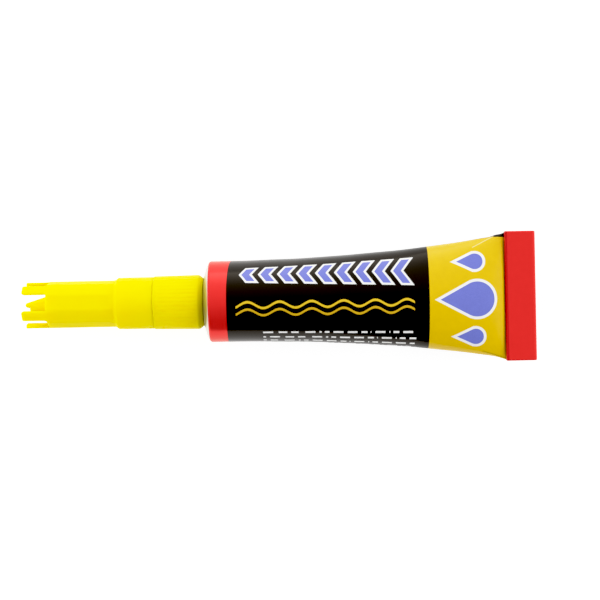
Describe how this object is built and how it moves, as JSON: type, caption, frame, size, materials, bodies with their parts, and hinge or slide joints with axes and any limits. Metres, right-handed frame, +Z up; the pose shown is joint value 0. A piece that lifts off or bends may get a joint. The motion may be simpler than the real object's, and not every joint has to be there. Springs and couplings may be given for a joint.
{
  "type": "super glue tube",
  "caption": "Small folded aluminium tube of instant glue with a threaded neck, a ribbed screw-on nozzle and a fluted push-on cap whose fingered crown guards a piercing spike",
  "frame": {"origin": "On the surface that the tube lies on, under the middle of its whole length and width", "axes": "+X runs along the tube from the cap to the folded end, +Y across the width of the fold, +Z up from the surface"},
  "size_m": [0.085, 0.0216, 0.0135],
  "materials": {
    "lacquered_tube": "gloss",
    "bare_aluminium": "satin",
    "latex_seal": "matte",
    "liquid_glue": "gloss",
    "yellow_nozzle": "satin",
    "yellow_cap": "satin"
  },
  "bodies": {
    "tube": {"tube_body": "lacquered_tube", "end_seal": "latex_seal", "glue": "liquid_glue"},
    "membrane": {"neck_membrane": "bare_aluminium"},
    "nozzle": {"nozzle": "yellow_nozzle"},
    "cap": {"cap": "yellow_cap"}
  },
  "joints": [
    {"name": "nozzle_turn", "type": "hinge", "parent": "tube", "child": "membrane", "pos_m": [-0.01176, 0, 0.00675], "axis": [-1, 0, 0], "range_deg": [0, 2342]},
    {"name": "nozzle_advance", "type": "slide", "parent": "membrane", "child": "nozzle", "axis": [-1, 0, 0], "range_m": [0, 0.0065]},
    {"name": "cap_pull", "type": "slide", "parent": "nozzle", "child": "cap", "axis": [-1, 0, 0], "range_m": [0, 0.02]}
  ],
  "couplings": [
    {"joint": "nozzle_turn", "follows": "nozzle_advance", "rad_per_m": 6283.2}
  ]
}
